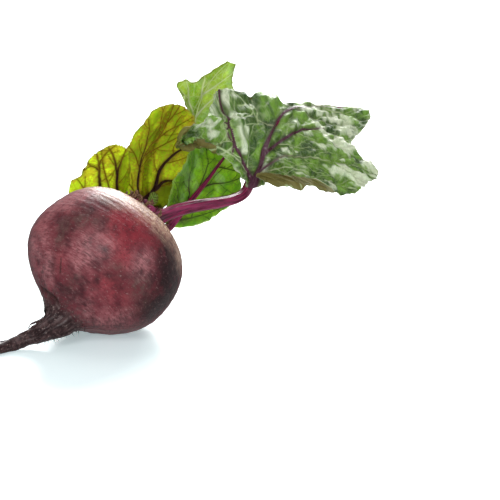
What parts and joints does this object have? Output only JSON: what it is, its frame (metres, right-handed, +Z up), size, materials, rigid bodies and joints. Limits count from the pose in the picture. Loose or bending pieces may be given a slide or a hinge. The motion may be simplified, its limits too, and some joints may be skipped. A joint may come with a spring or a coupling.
{
  "type": "beetroot",
  "caption": "Whole beetroot lying on its side: round purple root with a tapering tap root, and a crown of green leaves on purple stalks.",
  "frame": {"origin": "centre of the small flat spot under the root, on which it rests", "axes": "+Z up; the tap root points towards -X and -Y, and the crown and the leaves towards +X and +Y"},
  "size_m": [0.2405, 0.2141, 0.1086],
  "materials": {
    "skin": "dull maroon skin with a pale dry bloom",
    "stalk": "glossy red-purple stalk and veins",
    "yellow_green_blade": "soft yellow-green leaf with brown-purple veins",
    "light_green_blade": "soft pale green leaf",
    "mid_green_blade": "soft green leaf",
    "grey_green_blade": "glossy puckered grey-green leaf",
    "young_blade": "soft olive young leaf"
  },
  "bodies": {
    "root": {"root": "skin", "leaf_left_stalk": "stalk", "leaf_left_blade": "yellow_green_blade", "leaf_tall_stalk": "stalk", "leaf_tall_blade": "yellow_green_blade", "leaf_upright_stalk": "stalk", "leaf_upright_blade": "light_green_blade", "leaf_turned_stalk": "stalk", "leaf_turned_blade": "mid_green_blade", "leaf_large_stalk": "stalk", "leaf_large_blade": "grey_green_blade", "leaf_back_left_stalk": "stalk", "leaf_back_left_blade": "mid_green_blade", "leaf_back_stalk": "stalk", "leaf_back_blade": "mid_green_blade", "leaf_heart_stalk": "stalk", "leaf_heart_blade": "young_blade"}
  },
  "joints": []
}
